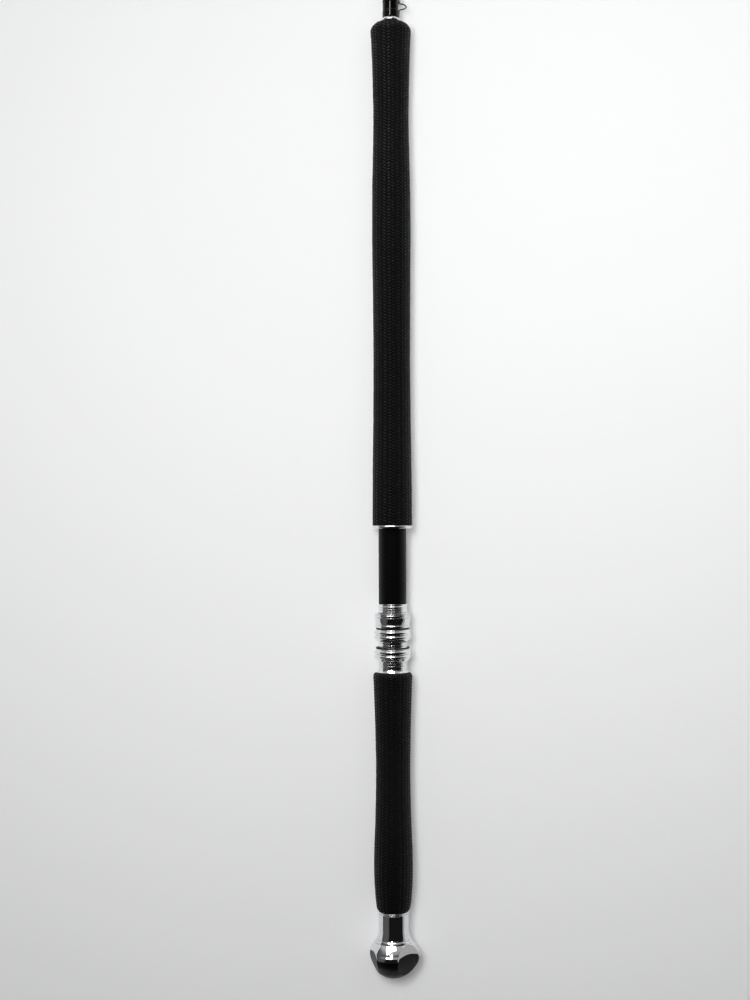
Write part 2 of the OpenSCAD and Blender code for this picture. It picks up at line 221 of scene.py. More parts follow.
def cut(obj, cutter):
    """Takes one closed mesh out of another."""
    m = obj.modifiers.new("cut", "BOOLEAN")
    m.operation, m.solver, m.object = "DIFFERENCE", "EXACT", cutter
    evaluated_mesh(obj)
    bpy.data.objects.remove(cutter)
    obj.data.shade_smooth()
    obj.data.set_sharp_from_angle(angle=math.radians(SHARP))


def slot_cutter(radius, drop, half_width, y0, y1):
    """The space of the reel foot: the part of a lowered cylinder between two side walls, under the axis."""
    side = math.asin(half_width / radius)
    ring = [
        [radius * math.sin(a), -drop - radius * math.cos(a)]
        for a in np.linspace(-side, side, 41)
    ]
    ring += [[half_width, -6.0], [-half_width, -6.0]]
    ring = np.array(ring)
    bm = bmesh.new()
    ends = [
        [bm.verts.new((q[0] * MM, y * MM, q[1] * MM)) for q in ring] for y in (y0, y1)
    ]
    bm.faces.new(ends[0])
    bm.faces.new(ends[1][::-1])
    n = len(ring)
    for k in range(n):
        bm.faces.new(
            [ends[0][k], ends[1][k], ends[1][(k + 1) % n], ends[0][(k + 1) % n]]
        )
    bmesh.ops.recalc_face_normals(bm, faces=bm.faces)
    mesh = bpy.data.meshes.new("slot")
    bm.to_mesh(mesh)
    bm.free()
    obj = bpy.data.objects.new("slot", mesh)
    bpy.context.scene.collection.objects.link(obj)
    return obj


def mill_flats(obj, front):
    """Cuts the three anti-roll flats behind a station. Each is straight on the crown and bends in along the
    dome, with a crease only where two of its planes meet at more than the bend limit."""
    bend_limit = 10.5
    bm = bmesh.new()
    bm.from_mesh(obj.data)
    bend = [[FLAT_D, CROWN_Y - 0.2], [FLAT_D - 0.3, -399.0], [FLAT_D - 0.95, -402.2]]
    bend = smooth(bend + [[FLAT_D - 2.2, -406.0], [FLAT_D - 5.4, -414.0]], 4)
    line = [[FLAT_D - 1.6, CROWN_Y + 10.1]] + bend
    pairs = [(b, a, d, c) for (a, b), (c, d) in zip(line, line[1:])]
    for turn in (FLAT_TURN, FLAT_TURN + 120, FLAT_TURN + 240):
        a = math.radians(turn)
        out = Vector((math.sin(a), 0, math.cos(a)))
        for y0, d0, y1, d1 in pairs:
            along = Vector((0, y1 - y0, 0)) + out * (d1 - d0)
            normal = along.cross(Vector((0, 1, 0)).cross(out)).normalized()
            if normal.dot(out) < 0:
                normal.negate()
            point = (Vector((0, y0, 0)) + out * d0) * MM
            faces = [f for f in bm.faces if f.calc_center_median().y < front * MM]
            geom = list({e for f in faces for e in f.edges})
            geom += list({v for f in faces for v in f.verts}) + faces
            made = bmesh.ops.bisect_plane(
                bm,
                geom=geom,
                dist=1e-8,
                plane_co=point,
                plane_no=normal,
                clear_outer=True,
            )
            rim = [
                e
                for e in made["geom_cut"]
                if isinstance(e, bmesh.types.BMEdge) and e.is_boundary
            ]
            if not rim:
                continue
            filled = bmesh.ops.holes_fill(bm, edges=rim, sides=0)
            for f in filled["faces"]:
                f.material_index = 1
    bmesh.ops.dissolve_degenerate(bm, edges=bm.edges, dist=1e-7)
    bmesh.ops.recalc_face_normals(bm, faces=bm.faces)
    for f in bm.faces:
        f.smooth = True
    for e in bm.edges:
        flats = [f.material_index for f in e.link_faces]
        turned = math.degrees(e.calc_face_angle(0)) if len(flats) == 2 else 0
        if len(flats) == 2 and (flats[0] != flats[1] or turned > bend_limit and flats == [1, 1]):
            e.smooth = False
        elif turned > SHARP:
            e.smooth = False
    for f in bm.faces:
        f.material_index = 0
    bm.to_mesh(obj.data)
    bm.free()


# ---- Materials


class Value:
    """A shader output that can be used in sums."""

    def __init__(self, graph, socket):
        self.graph, self.socket = graph, socket

    def __add__(self, other):
        return self.graph.math("ADD", self, other)

    def __radd__(self, other):
        return self.graph.math("ADD", other, self)

    def __sub__(self, other):
        return self.graph.math("SUBTRACT", self, other)

    def __rsub__(self, other):
        return self.graph.math("SUBTRACT", other, self)

    def __mul__(self, other):
        return self.graph.math("MULTIPLY", self, other)

    def __rmul__(self, other):
        return self.graph.math("MULTIPLY", other, self)

    def __truediv__(self, other):
        return self.graph.math("DIVIDE", self, other)

    def floor(self):
        return self.graph.math("FLOOR", self)

    def fraction(self):
        return self.graph.math("FRACT", self)

    def sine(self):
        return self.graph.math("SINE", self)

    def step(self, low, high):
        """0 below low and 1 above high, with a soft change between."""
        node = self.graph.tree.nodes.new("ShaderNodeMapRange")
        node.interpolation_type = "SMOOTHSTEP"
        self.graph.put(self, node.inputs[0])
        for k, v in enumerate((low, high, 0.0, 1.0)):
            node.inputs[k + 1].default_value = v
        return Value(self.graph, node.outputs[0])


class Graph:
    """One procedural material, with the point on the object in metres as x, y and z."""

    def __init__(self, name, tree=None):
        if tree is None:
            self.material = bpy.data.materials.new(name)
            self.material.use_nodes = True
            tree = self.material.node_tree
            self.shader = tree.nodes["Principled BSDF"]
        self.tree = tree
        where = tree.nodes.new("ShaderNodeTexCoord").outputs
        self.point = where["Object"]
        self.direction = where["Generated"]
        self.x, self.y, self.z = self.split(self.point)

    def split(self, socket):
        node = self.tree.nodes.new("ShaderNodeSeparateXYZ")
        self.tree.links.new(socket, node.inputs[0])
        return [Value(self, node.outputs[k]) for k in range(3)]

    def put(self, value, socket):
        if isinstance(value, Value):
            self.tree.links.new(value.socket, socket)
        else:
            socket.default_value = value

    def math(self, operation, *values):
        node = self.tree.nodes.new("ShaderNodeMath")
        node.operation = operation
        for value, socket in zip(values, node.inputs):
            self.put(value, socket)
        return Value(self, node.outputs[0])

    def angle(self):
        """The turn about the rod axis, from +Z towards +X."""
        return self.math("ARCTAN2", self.x, self.z)

    def vector(self, x, y, z):
        node = self.tree.nodes.new("ShaderNodeCombineXYZ")
        for value, socket in zip((x, y, z), node.inputs):
            self.put(value, socket)
        return node.outputs[0]

    def noise(self, around, along=None, detail=3.0, rough=0.55, at=None):
        """Noise from 0 to 1, with its own number of features a metre round and along the rod."""
        along = around if along is None else along
        node = self.tree.nodes.new("ShaderNodeTexNoise")
        node.inputs["Scale"].default_value = 1.0
        node.inputs["Detail"].default_value = detail
        node.inputs["Roughness"].default_value = rough
        if at is None:
            at = self.vector(self.x * around, self.y * along, self.z * around)
        self.tree.links.new(at, node.inputs["Vector"])
        return Value(self, node.outputs["Fac"])

    def cells(self, scale):
        node = self.tree.nodes.new("ShaderNodeTexVoronoi")
        node.inputs["Scale"].default_value = scale
        self.tree.links.new(self.point, node.inputs["Vector"])
        return Value(self, node.outputs["Distance"])

    def dice(self, a, b):
        """A random number for each pair of whole numbers."""
        node = self.tree.nodes.new("ShaderNodeTexWhiteNoise")
        self.tree.links.new(self.vector(a, b, 0.0), node.inputs["Vector"])
        return Value(self, node.outputs["Value"])

    def blend(self, share, first, second):
        node = self.tree.nodes.new("ShaderNodeMix")
        node.data_type = "RGBA"
        self.put(share, node.inputs[0])
        for colour, socket in ((first, node.inputs[6]), (second, node.inputs[7])):
            if isinstance(colour, Value):
                self.put(colour, socket)
            else:
                socket.default_value = (*colour, 1.0)
        return Value(self, node.outputs[2])

    def set(self, **sockets):
        """Sets the shader's sockets by name, with _ for a space."""
        for name, value in sockets.items():
            self.put(value, self.shader.inputs[name.replace("_", " ")])

    def bump(self, *layers):
        """Stacks (height from 0 to 1, depth in metres) layers into the shader's normal."""
        last = None
        for height, depth in layers:
            node = self.tree.nodes.new("ShaderNodeBump")
            node.inputs["Strength"].default_value = 1.0
            node.inputs["Distance"].default_value = depth
            self.put(height, node.inputs["Height"])
            if last:
                self.tree.links.new(last, node.inputs["Normal"])
            last = node.outputs["Normal"]
        self.tree.links.new(last, self.shader.inputs["Normal"])


def polished_aluminium(name, colour, low, high, marks=2.0e-6):
    """Turned and buffed metal: fine lines round the axis, hazy patches and a few pits."""
    g = Graph(name)
    lines = g.noise(60, 5200, detail=4)
    haze = g.noise(90, 130, detail=5)
    hairs = g.noise(2600, 160, detail=2).step(0.66, 0.74)
    pits = g.noise(1700, detail=1).step(0.74, 0.8)
    dull = tuple(c * 0.86 for c in colour)
    g.set(
        Base_Color=g.blend(haze * 0.6 + pits * 0.4, colour, dull),
        Metallic=1.0,
        Roughness=low + haze.step(0.35, 0.75) * (high - low) + hairs * 0.05 + pits * 0.2,
    )
    g.bump((lines, marks), (pits, -6e-6), (hairs, -1.5e-6))
    return g.material


def woven_sleeve():
    """Braided nylon: rows of short floats that lean one way and the other in turn. The gaps between floats
    get painted shade.
    """
    g = Graph("woven_sleeve")
    uv = g.tree.nodes.new("ShaderNodeUVMap")
    uv.uv_map = "weave"
    across, along, _ = g.split(uv.outputs[0])
    column = across.floor()
    u = across.fraction() - 0.5
    odd = g.math("MODULO", column, 2.0)
    run = along + odd * 0.5
    v = run.fraction() - 0.5
    float_id = g.dice(column, run.floor())
    edge = 1.0 - (u * u * 4.6 + v * v * 8.2)
    crown = g.math("SQRT", g.math("MAXIMUM", edge, 0.0))
    yarn = edge.step(-0.25, 0.35)
    filament = (v * 74.0 + u * 6.0 + float_id * 9.0).sine() * 0.5 + 0.5
    fuzz = g.noise(2400, detail=2)
    wear = g.noise(26, 14, detail=3).step(0.45, 0.75)
    # The gaps between the floats are painted near-black: painted shade in the grooves of the braid. The wear
    # blend is real wear.
    g.set(
        Base_Color=g.blend(
            yarn * (0.55 + 0.45 * float_id),
            (0.0005, 0.0005, 0.0006),
            g.blend(wear, (0.003, 0.003, 0.0032), (0.0058, 0.0057, 0.0055)),
        ),
        Roughness=0.9 - edge.step(0.1, 0.8) * (0.6 + 0.12 * float_id) - wear * 0.03,
        Specular_IOR_Level=0.55,
    )
    g.bump((crown * 0.85 + filament * yarn * 0.15, 1.6e-4), (fuzz * yarn, 1.0e-5))
    return g.material


def gloss_carbon():
    """The blank: dark fibre with faint tape ridges under a clear gloss coat."""
    g = Graph("gloss_carbon")
    tape = (g.y * 1900.0 + g.angle()).sine() * 0.5 + 0.5
    fibre = g.noise(2600, 120, detail=3)
    dust = g.noise(900, detail=1).step(0.76, 0.8)
    haze = g.noise(60, 25, detail=4)
    g.set(
        Base_Color=g.blend(
            fibre * 0.8 + dust * 0.4, (0.0008, 0.0008, 0.001), (0.0028, 0.0028, 0.003)
        ),
        Roughness=0.34 + haze * 0.12,
        Coat_Weight=1.0,
        Coat_Roughness=0.035,
        Coat_IOR=1.42,
        Specular_IOR_Level=0.08,
    )
    g.bump((tape, 3e-6), (fibre, 4e-6))
    return g.material


def thread_wrap():
    """Brown-black winding thread that shows through a thick layer of resin."""
    g = Graph("thread_wrap")
    turns = (g.y * 4000.0 + g.angle() / TAU).fraction() - 0.5
    thread = 1.0 - (turns * turns * 4.0)
    shade = g.noise(40, 900, detail=2)
    g.set(
        Base_Color=g.blend(
            thread * (0.4 + 0.6 * shade), (0.0012, 0.0008, 0.0006), (0.009, 0.0045, 0.003)
        ),
        Roughness=0.5 + 0.2 * shade,
        Specular_IOR_Level=0.1,
        Coat_Weight=1.0,
        Coat_Roughness=0.05,
        Coat_IOR=1.42,
    )
    g.bump((thread, 3e-5))
    return g.material


def seat_carbon():
    """The seat pipe: woven tow under a satin coat, each float a shallow pillow. The crowns of the over floats
    carry painted glints.
    """
    g = Graph("seat_carbon")
    tow = g.angle() * (16 / TAU)
    run = g.y * 500.0
    column, row = tow.floor(), run.floor()
    u, v = tow.fraction() - 0.5, run.fraction() - 0.5
    over = g.math("MODULO", g.math("ABSOLUTE", column + row), 2.0)
    pillow = g.math("MAXIMUM", 1.0 - (u * u * 4.0 + v * v * 4.0), 0.0)
    strand = g.noise(700, 5200, detail=2)
    weave = over * pillow
    haze = g.noise(50, 70, detail=4)
    # The crowns of the over floats are painted lighter: painted glints in staggered dots. The strand noise is
    # real tone.
    g.set(
        Base_Color=g.blend(
            weave * 0.7 + strand * 0.3, (0.0006, 0.0006, 0.0008), (0.0055, 0.0056, 0.006)
        ),
        Roughness=0.4 - weave * 0.12 + haze * 0.08,
        Specular_IOR_Level=0.3,
    )
    g.bump((weave, 5e-5), (strand, 5e-6))
    return g.material


def black_rubber(name, base, rough):
    """Moulded rubber: very fine grain, a dusting of lint and slightly polished patches."""
    g = Graph(name)
    grain = g.noise(4200, detail=3)
    rub = g.noise(110, detail=5).step(0.42, 0.72)
    lint = g.noise(800, 2000, detail=1).step(0.74, 0.8)
    g.set(
        Base_Color=g.blend(
            rub * 0.5 + lint * 0.5, (base, base, base * 1.05), (base * 2.2,) * 3
        ),
        Roughness=rough + rub * 0.12 + lint * 0.1,
        Specular_IOR_Level=0.4,
    )
    g.bump((grain, 1.2e-5), (rub, 1.5e-5))
    return g.material


def foam(name, dark, light, scale):
    """Closed-cell foam: cells whose sunken parts are painted darker as painted shade, and a mottled tone."""
    g = Graph(name)
    cell = g.cells(scale)
    patch = g.noise(180, detail=4)
    # Where the cells sink in, the colour is painted darker: painted shade. The patch noise is real mottled
    # tone.
    g.set(
        Base_Color=g.blend(cell.step(0.1, 0.7) * 0.7 + patch * 0.3, light, dark),
        Roughness=0.86 - patch * 0.1,
    )
    g.bump((cell, -1.4e-4), (patch, 2e-5))
    return g.material


def nylon():
    """Moulded nylon washers: streaks from cutting and rubbed patches."""
    g = Graph("black_nylon")
    grain = g.noise(1500, 5000, detail=3)
    rub = g.noise(150, detail=4)
    g.set(
        Base_Color=g.blend(rub, (0.006, 0.006, 0.0065), (0.02, 0.02, 0.021)),
        Roughness=0.34 + 0.16 * rub + 0.06 * grain,
    )
    g.bump((grain, 6e-6))
    return g.material


def plain_steel(name, colour, low, high):
    """Drawn or cut steel: streaks along the rod, small stains and dull spots."""
    g = Graph(name)
    streak = g.noise(3200, 260, detail=3)
    stain = g.noise(260, detail=5).step(0.4, 0.75)
    g.set(
        Base_Color=g.blend(stain, colour, tuple(c * 0.68 for c in colour)),
        Metallic=1.0,
        Roughness=low + (high - low) * stain + 0.06 * streak,
    )
    g.bump((streak, 4e-6), (stain, -5e-6))
    return g.material


def cut_thread():
    """The stud: a fine machine thread."""
    g = Graph("steel")
    turns = (g.y * 1000.0 + g.angle() / TAU).fraction() - 0.5
    ridge = g.math("ABSOLUTE", turns) * 2.0
    oil = g.noise(300, detail=4)
    g.set(
        Base_Color=g.blend(oil, (0.5, 0.5, 0.5), (0.33, 0.32, 0.3)),
        Metallic=1.0,
        Roughness=0.24 + 0.2 * oil,
    )
    g.bump((ridge, 3e-4))
    return g.material


def paper():
    """The floor: matte pale card with a barely visible grain. It glows a little more the further it is beyond
    the lights' reach, so that it looks evenly pale from every side."""
    reach_squared = 0.4
    g = Graph("floor_card")
    grain = g.noise(900, detail=3)
    tone = g.noise(1.6, detail=2)
    beyond = g.math("MAXIMUM", g.x * g.x + g.y * g.y - reach_squared, 0.0)
    g.set(
        Base_Color=g.blend(tone * 0.6 + grain * 0.4, (0.83, 0.835, 0.84), (0.87, 0.87, 0.872)),
        Roughness=0.92,
        Specular_IOR_Level=0.15,
        Emission_Color=(1.0, 1.0, 1.0, 1.0),
        Emission_Strength=beyond / (beyond + 1.1) * 0.66,
    )
    g.bump((grain, 1.5e-5))
    return g.material


BRIGHT = polished_aluminium("polished_aluminium", (0.86, 0.862, 0.87), 0.07, 0.15)
CROWN = polished_aluminium("polished_crown", (0.88, 0.882, 0.895), 0.05, 0.11, 1.2e-6)
SLEEVE = woven_sleeve()
CARBON = gloss_carbon()
WRAP = thread_wrap()
PIPE = seat_carbon()
DOME = black_rubber("black_rubber", 0.001, 0.36)
CUSHION = black_rubber("cushion_rubber", 0.008, 0.55)
CORE = foam("grip_foam", (0.006, 0.006, 0.0065), (0.03, 0.03, 0.031), 900)
ARBOR = foam("arbor_foam", (0.2, 0.13, 0.05), (0.5, 0.37, 0.19), 1400)
NYLON = nylon()
WIRE = plain_steel("keeper_wire", (0.2, 0.2, 0.205), 0.34, 0.5)
NUT = plain_steel("steel_nut", (0.52, 0.52, 0.52), 0.2, 0.38)
STUD = cut_thread()


def place(obj, material, body, slot, *stood_for):
    """Gives a new piece its finish, its body and the CAD nodes that it stands for."""
    obj.data.materials.clear()
    obj.data.materials.append(material)
    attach(obj, body)
    if stood_for:
        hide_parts(*stood_for)
    return obj


def keep(node, material, edge=0.0):
    """Shows a CAD node as it is, with its own material and softened edges."""
    obj = nodes[node]
    obj.data.materials.clear()
    obj.data.materials.append(material)
    if edge:
        m = obj.modifiers.new("soft_edges", "BEVEL")
        m.width, m.segments = edge * MM, 2
        m.limit_method, m.angle_limit = "ANGLE", math.radians(35)


# ---- Blank, windings and keeper


def build_blank():
    tip = blank_out(TIP_Y)
    outline = [
        [blank_out(-384) - 2, -384],
        [blank_out(-384), -384],
        [blank_out(-360), -360],
        [blank_out(CHECK_Y), CHECK_Y],
        [tip, TIP_Y],
        [5.2, TIP_Y],
        [5.2, TIP_Y - 68],
        [blank_out(TIP_Y - 68) - 2.1, TIP_Y - 68],
    ]
    obj = lathe("blank_tube", softened(outline, 0.5, 5), 128)
    place(obj, CARBON, "rod", "gloss_carbon", "blank")


def winding(name, y0, y1, hump, node):
    """A thread winding under resin: rounded ends, a shallow belly, and a raised strip over the keeper's foot.
    hump is the station where the raised strip is highest, or None."""
    ramp, thick = 0.9, 0.26
    stations = np.linspace(y0, y1, 90)
    end = np.minimum(stations - y0, y1 - stations)
    rise = 0.03 + (thick - 0.03) * np.clip(end / ramp, 0, 1) ** 0.5
    outer = [[blank_out(y) + h, y] for y, h in zip(stations, rise)]
    inner = [[blank_out(y) + 0.01, y] for y in (y1, y0)]

    def shape(r, y, t):
        shine = 0.02 * np.sin(y * 1.3 + 2 * np.sin(t)) * (r > blank_out(y) + 0.2)
        if hump is None:
            return r + shine
        near = np.clip(1 - np.abs(y - hump) / 8.5, 0, 1)
        fade = np.clip(np.minimum(y - y0, y1 - y) / 0.5, 0, 1)
        width = np.exp(-((away_from(t, math.pi / 2) / 0.17) ** 2))
        lift = 0.85 * np.sqrt(near) * fade * width
        return r + shine + lift * (r > blank_out(y) + 0.02)

    obj = lathe(name, outer + inner, 160, shape)
    place(obj, WRAP, "rod", "thread_wrap", node)


def build_keeper():
    """One bent wire: a foot along the blank, a loop like a rounded triangle, and the other foot."""
    half = LEG_GAP / 2
    low = blank_out(KEEPER_Y) + 0.42
    side = [
        [low, KEEPER_Y + half + 6.6],
        [low, KEEPER_Y + half + 4.0],
        [low + 0.02, KEEPER_Y + half + 1.6],
        [low + 0.22, KEEPER_Y + half + 0.62],
        [low + 0.95, KEEPER_Y + half + 0.1],
        [low + 2.2, KEEPER_Y + half - 0.12],
        [low + 3.7, KEEPER_Y + half - 0.42],
        [low + 5.2, KEEPER_Y + half - 1.02],
        [14.05, KEEPER_Y + half - 1.9],
        [14.6, KEEPER_Y],
    ]
    other = [[x, 2 * KEEPER_Y - y] for x, y in side[:-1]][::-1]
    path = np.array(smooth(side + other, 8))
    wire = 0.58
    foot = np.clip((np.abs(path[:, 1] - KEEPER_Y) - half - 0.5) / 2.2, 0, 1)
    near_end = np.clip((half + 6.6 - np.abs(path[:, 1] - KEEPER_Y)) / 2.0, 0, 1)
    taper = 0.35 + 0.65 * np.sqrt(near_end)
    wide = (wire - 0.2 * foot) * taper
    tall = (wire + 0.16 * foot) * taper
    obj = tube("keeper_loop_wire", path, wide, tall, 24)
    bm = bmesh.new()
    bm.from_mesh(obj.data)
    bmesh.ops.holes_fill(bm, edges=[e for e in bm.edges if e.is_boundary], sides=0)
    bmesh.ops.recalc_face_normals(bm, faces=bm.faces)
    bm.to_mesh(obj.data)
    bm.free()
    place(obj, WIRE, "rod", "keeper_wire", "hook_keeper")


def build_check():
    r = blank_out(CHECK_Y) + 0.1
    outer = smooth(
        [
            [r + 1.1, CHECK_Y],
            [r + 1.5, CHECK_Y + 0.7],
            [r + 1.1, CHECK_Y + 2.0],
            [r + 0.4, CHECK_Y + 3.0],
        ],
        8,
    )
    outline = softened([[r, CHECK_Y + 3.0], [r, CHECK_Y]] + outer, 0.15)
    place(lathe("check_ring", outline, 128), BRIGHT, "rod", "polished_aluminium", "winding_check")


# ---- Grips


def braided(name, outer, inner, node):
    """A sleeve whose mesh follows the braid: rows run in zigzag along the floats, and each float is a small
    pillow."""
    per_column, per_pitch = 5, 4
    dense = np.array(resampled(outer, 0.25))
    length = np.concatenate([[0], np.cumsum(np.linalg.norm(np.diff(dense, axis=0), axis=1))])
    total = length[-1]
    rows = int(round(total / BRAID_PITCH * per_pitch))
    step = total / rows
    cols = BRAID_COLUMNS * per_column
    turn = (np.arange(cols) + 0.5) / cols
    column = np.floor(turn * BRAID_COLUMNS)
    u = turn * BRAID_COLUMNS - column - 0.5
    odd = column % 2
    zig = (2 * odd - 1) * u * BRAID_SLANT
    s0 = (np.arange(rows + 1) * step)[:, None]
    end = np.minimum(s0, total - s0)
    fade = np.clip((end - 0.4) / 5.0, 0, 1)
    s = s0 - zig[None, :] * BRAID_PITCH * fade
    slow = 0.35 * np.sin(s0 / 41.0) + 0.2 * np.sin(s0 / 13.0 + 1.0)
    w = s0 / (per_pitch * step)
    v = np.mod(w + 0.5 * odd[None, :], 1.0) - 0.5
    bump = 1 - (u[None, :] / 0.47) ** 2 - (v / 0.36) ** 2
    bump = np.sqrt(np.clip(bump, 0, 1))
    rng = np.random.default_rng(7)
    lumps = rng.normal(0, 1, (int(rows / per_pitch) + 3, BRAID_COLUMNS))
    cell = np.floor(w + 0.5 * odd[None, :]).astype(int)
    uneven = lumps[np.clip(cell, 0, len(lumps) - 1), column.astype(int)[None, :]]
    r = np.interp(s, length, dense[:, 0])
    y = np.interp(s, length, dense[:, 1])
    slope = 0.3
    tr = np.interp(s + slope, length, dense[:, 0]) - np.interp(s - slope, length, dense[:, 0])
    ty = np.interp(s + slope, length, dense[:, 1]) - np.interp(s - slope, length, dense[:, 1])
    size = np.maximum(np.hypot(tr, ty), 1e-9)
    nr, ny = ty / size, -tr / size
    if nr.mean() < 0:
        nr, ny = -nr, -ny
    calm = np.clip(end / 1.2, 0.15, 1) * np.clip((r - 9.3) / 3.0, 0.1, 1)
    relief = (-0.34 + bump * (0.4 + 0.05 * uneven)) * calm
    r, y = r + nr * relief, y + ny * relief
    angle = (turn * TAU)[None, :] + math.radians(-1.6) + 0 * r
    angle = angle + slow * 0.03
    back = np.array(inner, float)
    r_in = np.repeat(back[:, :1], cols, 1)
    y_in = np.repeat(back[:, 1:], cols, 1)
    a_in = np.repeat(angle[-1:], len(back), 0)
    r, y, angle = np.vstack([r, r_in]), np.vstack([y, y_in]), np.vstack([angle, a_in])
    across = np.repeat(
        (np.arange(cols + 1) + 0.5)[None, :] / per_column, len(r), 0
    )
    down = np.vstack([np.repeat(w, cols + 1, 1), np.full((len(back), cols + 1), w[-1, 0])])
    obj = grid_object(
        name, r * np.sin(angle), y, r * np.cos(angle), (across, down), True, 60
    )
    place(obj, SLEEVE, "rod", "woven_sleeve", node)


FOREGRIP = [
    [9.0, 469.4], [13.4, 468.0], [16.4, 465.8], [18.15, 463.2], [18.8, FOREGRIP_SHOULDER], [18.3, 453.0],
    [17.6, 436.0], [16.7, 401.0], [16.45, 379.0], [16.95, 345.0], [17.65, 312.0],
    [17.9, 267.0], [17.45, 223.0], [17.06, 156.0], [17.35, 108.0], [17.95, 66.0],
    [18.25, 30.0], [18.4, 2.5],
]  # fmt: skip
REARGRIP = [
    [13.4, GRIP_FRONT], [16.4, -134.8], [17.9, -136.4], [18.2, -139.0], [17.8, -147.0],
    [17.3, -162.0], [16.55, -188.0], [16.0, -216.0], [16.0, -236.0], [16.5, -263.0],
    [17.2, -282.0], [17.85, -299.0], [18.05, -314.0], [17.7, -330.0], [16.75, -344.0],
    [15.8, -352.0], [14.9, -354.4], [14.0, GRIP_END],
]  # fmt: skip


def build_grips():
    def lining(points, top):
        t = SLEEVE_T - 0.03
        return [[r - t, min(y, top)] for r, y in points[::-1]]

    outer = [[8.2, 469.6]] + smooth(FOREGRIP, 8) + [[18.15, 2.05]]
    inner = [[17.53, 2.0]] + lining(FOREGRIP[:-1], 468.75) + [[8.2, 468.75]]
    braided("foregrip_braid", outer, inner, "foregrip_sleeve")
    outer = smooth(REARGRIP, 8)
    inner = [[13.13, GRIP_END]] + lining(REARGRIP[3:-1], -135.25) + [[13.1, -135.25]]
    braided("rear_grip_braid", outer, inner, "rear_grip_sleeve")


# ---- Reel seat


def build_pipe():
    outline = softened(
        [[11.0, -58.4], [12.25, -58.4], [12.25, -70.9], [PIPE_R, -70.9], [PIPE_R, 32], [11.0, 32]],
        0.25,
    )
    place(lathe("seat_pipe_tube", outline, 160), PIPE, "rod", "seat_carbon", "seat_pipe")


def build_barrel():
    """The alloy barrel with a right-hand thread and a keyway under it."""
    start, stop, tail = -72.5, -129.5, -150.0
    root = THREAD_CREST - THREAD_DEPTH
    stations = np.arange(start + 0.6, stop - 0.9, -THREAD_PITCH / 16)
    outline = [[11.0, -58.9], [12.2, -58.9], [12.2, -70.9], [root - 0.2, -70.95], [root, -71.3]]
    outline += [[root, y] for y in stations]
    outline += [[12.9, stop - 1.1], [12.9, tail + 0.3], [12.6, tail], [11.0, tail]]
    edge = math.radians(8.7)
    angles = np.linspace(0, TAU, 150, endpoint=False)
    angles = angles[np.abs(away_from(angles, math.pi)) > edge + 0.02]
    inside = math.pi + np.array([-edge, -edge * 0.97, -edge * 0.5, 0, edge * 0.5, edge * 0.97, edge])
    angles = np.sort(np.concatenate([angles, inside]))

    def shape(r, y, t):
        phase = np.mod(y / THREAD_PITCH - t / TAU, 1.0)
        ridge = np.abs(phase - 0.5) * 2
        height = 1 - np.clip((ridge - 0.32) / 0.34, 0, 1)
        height = height * height * (3 - 2 * height)
        ends = np.clip((start - y + 0.3) / 1.0, 0, 1) * np.clip((y - stop + 0.3) / 1.0, 0, 1)
        on = (np.abs(r - root) < 0.01) & (y < start + 0.65) & (y > stop - 1.0)
        r = np.where(on, root + THREAD_DEPTH * height * ends, r)
        floor = 12.1 / np.cos(away_from(t, math.pi))
        slot = (np.abs(away_from(t, math.pi)) < edge * 0.98) & (y < -70.9) & (y > stop)
        return np.where(slot & (r > 12.0), np.minimum(r, floor), r)

    obj = lathe("seat_barrel", outline, shape=shape, angles=angles, sharp=50)
    place(obj, BRIGHT, "rod", "polished_aluminium", "threaded_barrel")


def hood_outline():
    y, r = HOOD_MOUTH, 16.6
    points = [[r - 0.3, y], [r, y - 0.25], [r, y - 0.7], [r - 0.65, y - 1.0], [r - 0.65, y - 1.4]]
    points += smooth([[r - 0.2, y - 1.7], [r + 0.1, y - 2.6], [r - 0.2, y - 3.5]])
    points += [[r - 0.7, y - 3.8], [r - 0.7, y - 4.2]]
    points += smooth([[r - 0.05, y - 4.6], [r - 0.25, y - 7.4], [r - 1.0, y - 10.4]])
    points += [[r - 1.5, y - 10.7]]
    return points + smooth([[r - 0.9, y - 11.1], [r - 0.5, y - 12.1], [r - 0.9, y - 13.4]])


def build_hood():
    end = HOOD_MOUTH - 13.4
    outline = [[RUN_R, HOOD_MOUTH]] + hood_outline() + [[RUN_R, end]]

    def shape(r, y, t):
        down = away_from(t, math.pi)
        under = np.cos(down)
        reach = HOOD_BULGE * under + np.sqrt(r**2 - (HOOD_BULGE * np.sin(down)) ** 2)
        share = np.clip((y - (HOOD_MOUTH - 10.6)) / 1.2, 0, 1)
        share = share * share * (3 - 2 * share)
        outside = r > RUN_R + 0.6
        return np.where(outside & (under > 0), r + share * np.maximum(reach - r, 0), r)

    obj = lathe("hood_shell", softened(outline, 0.16), 216, shape)
    cut(obj, slot_cutter(15.7, HOOD_BULGE, 10, HOOD_MOUTH - 9, HOOD_MOUTH + 1))
    place(obj, BRIGHT, "hood", "polished_aluminium", "movable_hood")


def build_nut(name, face, body, node):
    """A ring nut with two rounded finger ridges and a coned rear end."""
    side = [[RUN_R, face], [15.1, face], [15.6, face - 0.5], [15.7, face - 1.2]]
    ridges = smooth(
        [
            [16.1, face - 1.7], [17.0, face - 2.4], [17.3, face - 3.4], [17.0, face - 4.4],
            [16.15, face - 5.55], [17.0, face - 6.7], [17.3, face - 7.7], [17.0, face - 8.6],
            [16.3, face - 9.2],
        ]
    )  # fmt: skip
    rear = [[14.5, face - 11.1], [14.1, face - 11.4], [RUN_R, face - 11.4]]
    obj = lathe(name, softened(side + ridges + rear, 0.2), 192)
    place(obj, BRIGHT, body, "polished_aluminium", node)


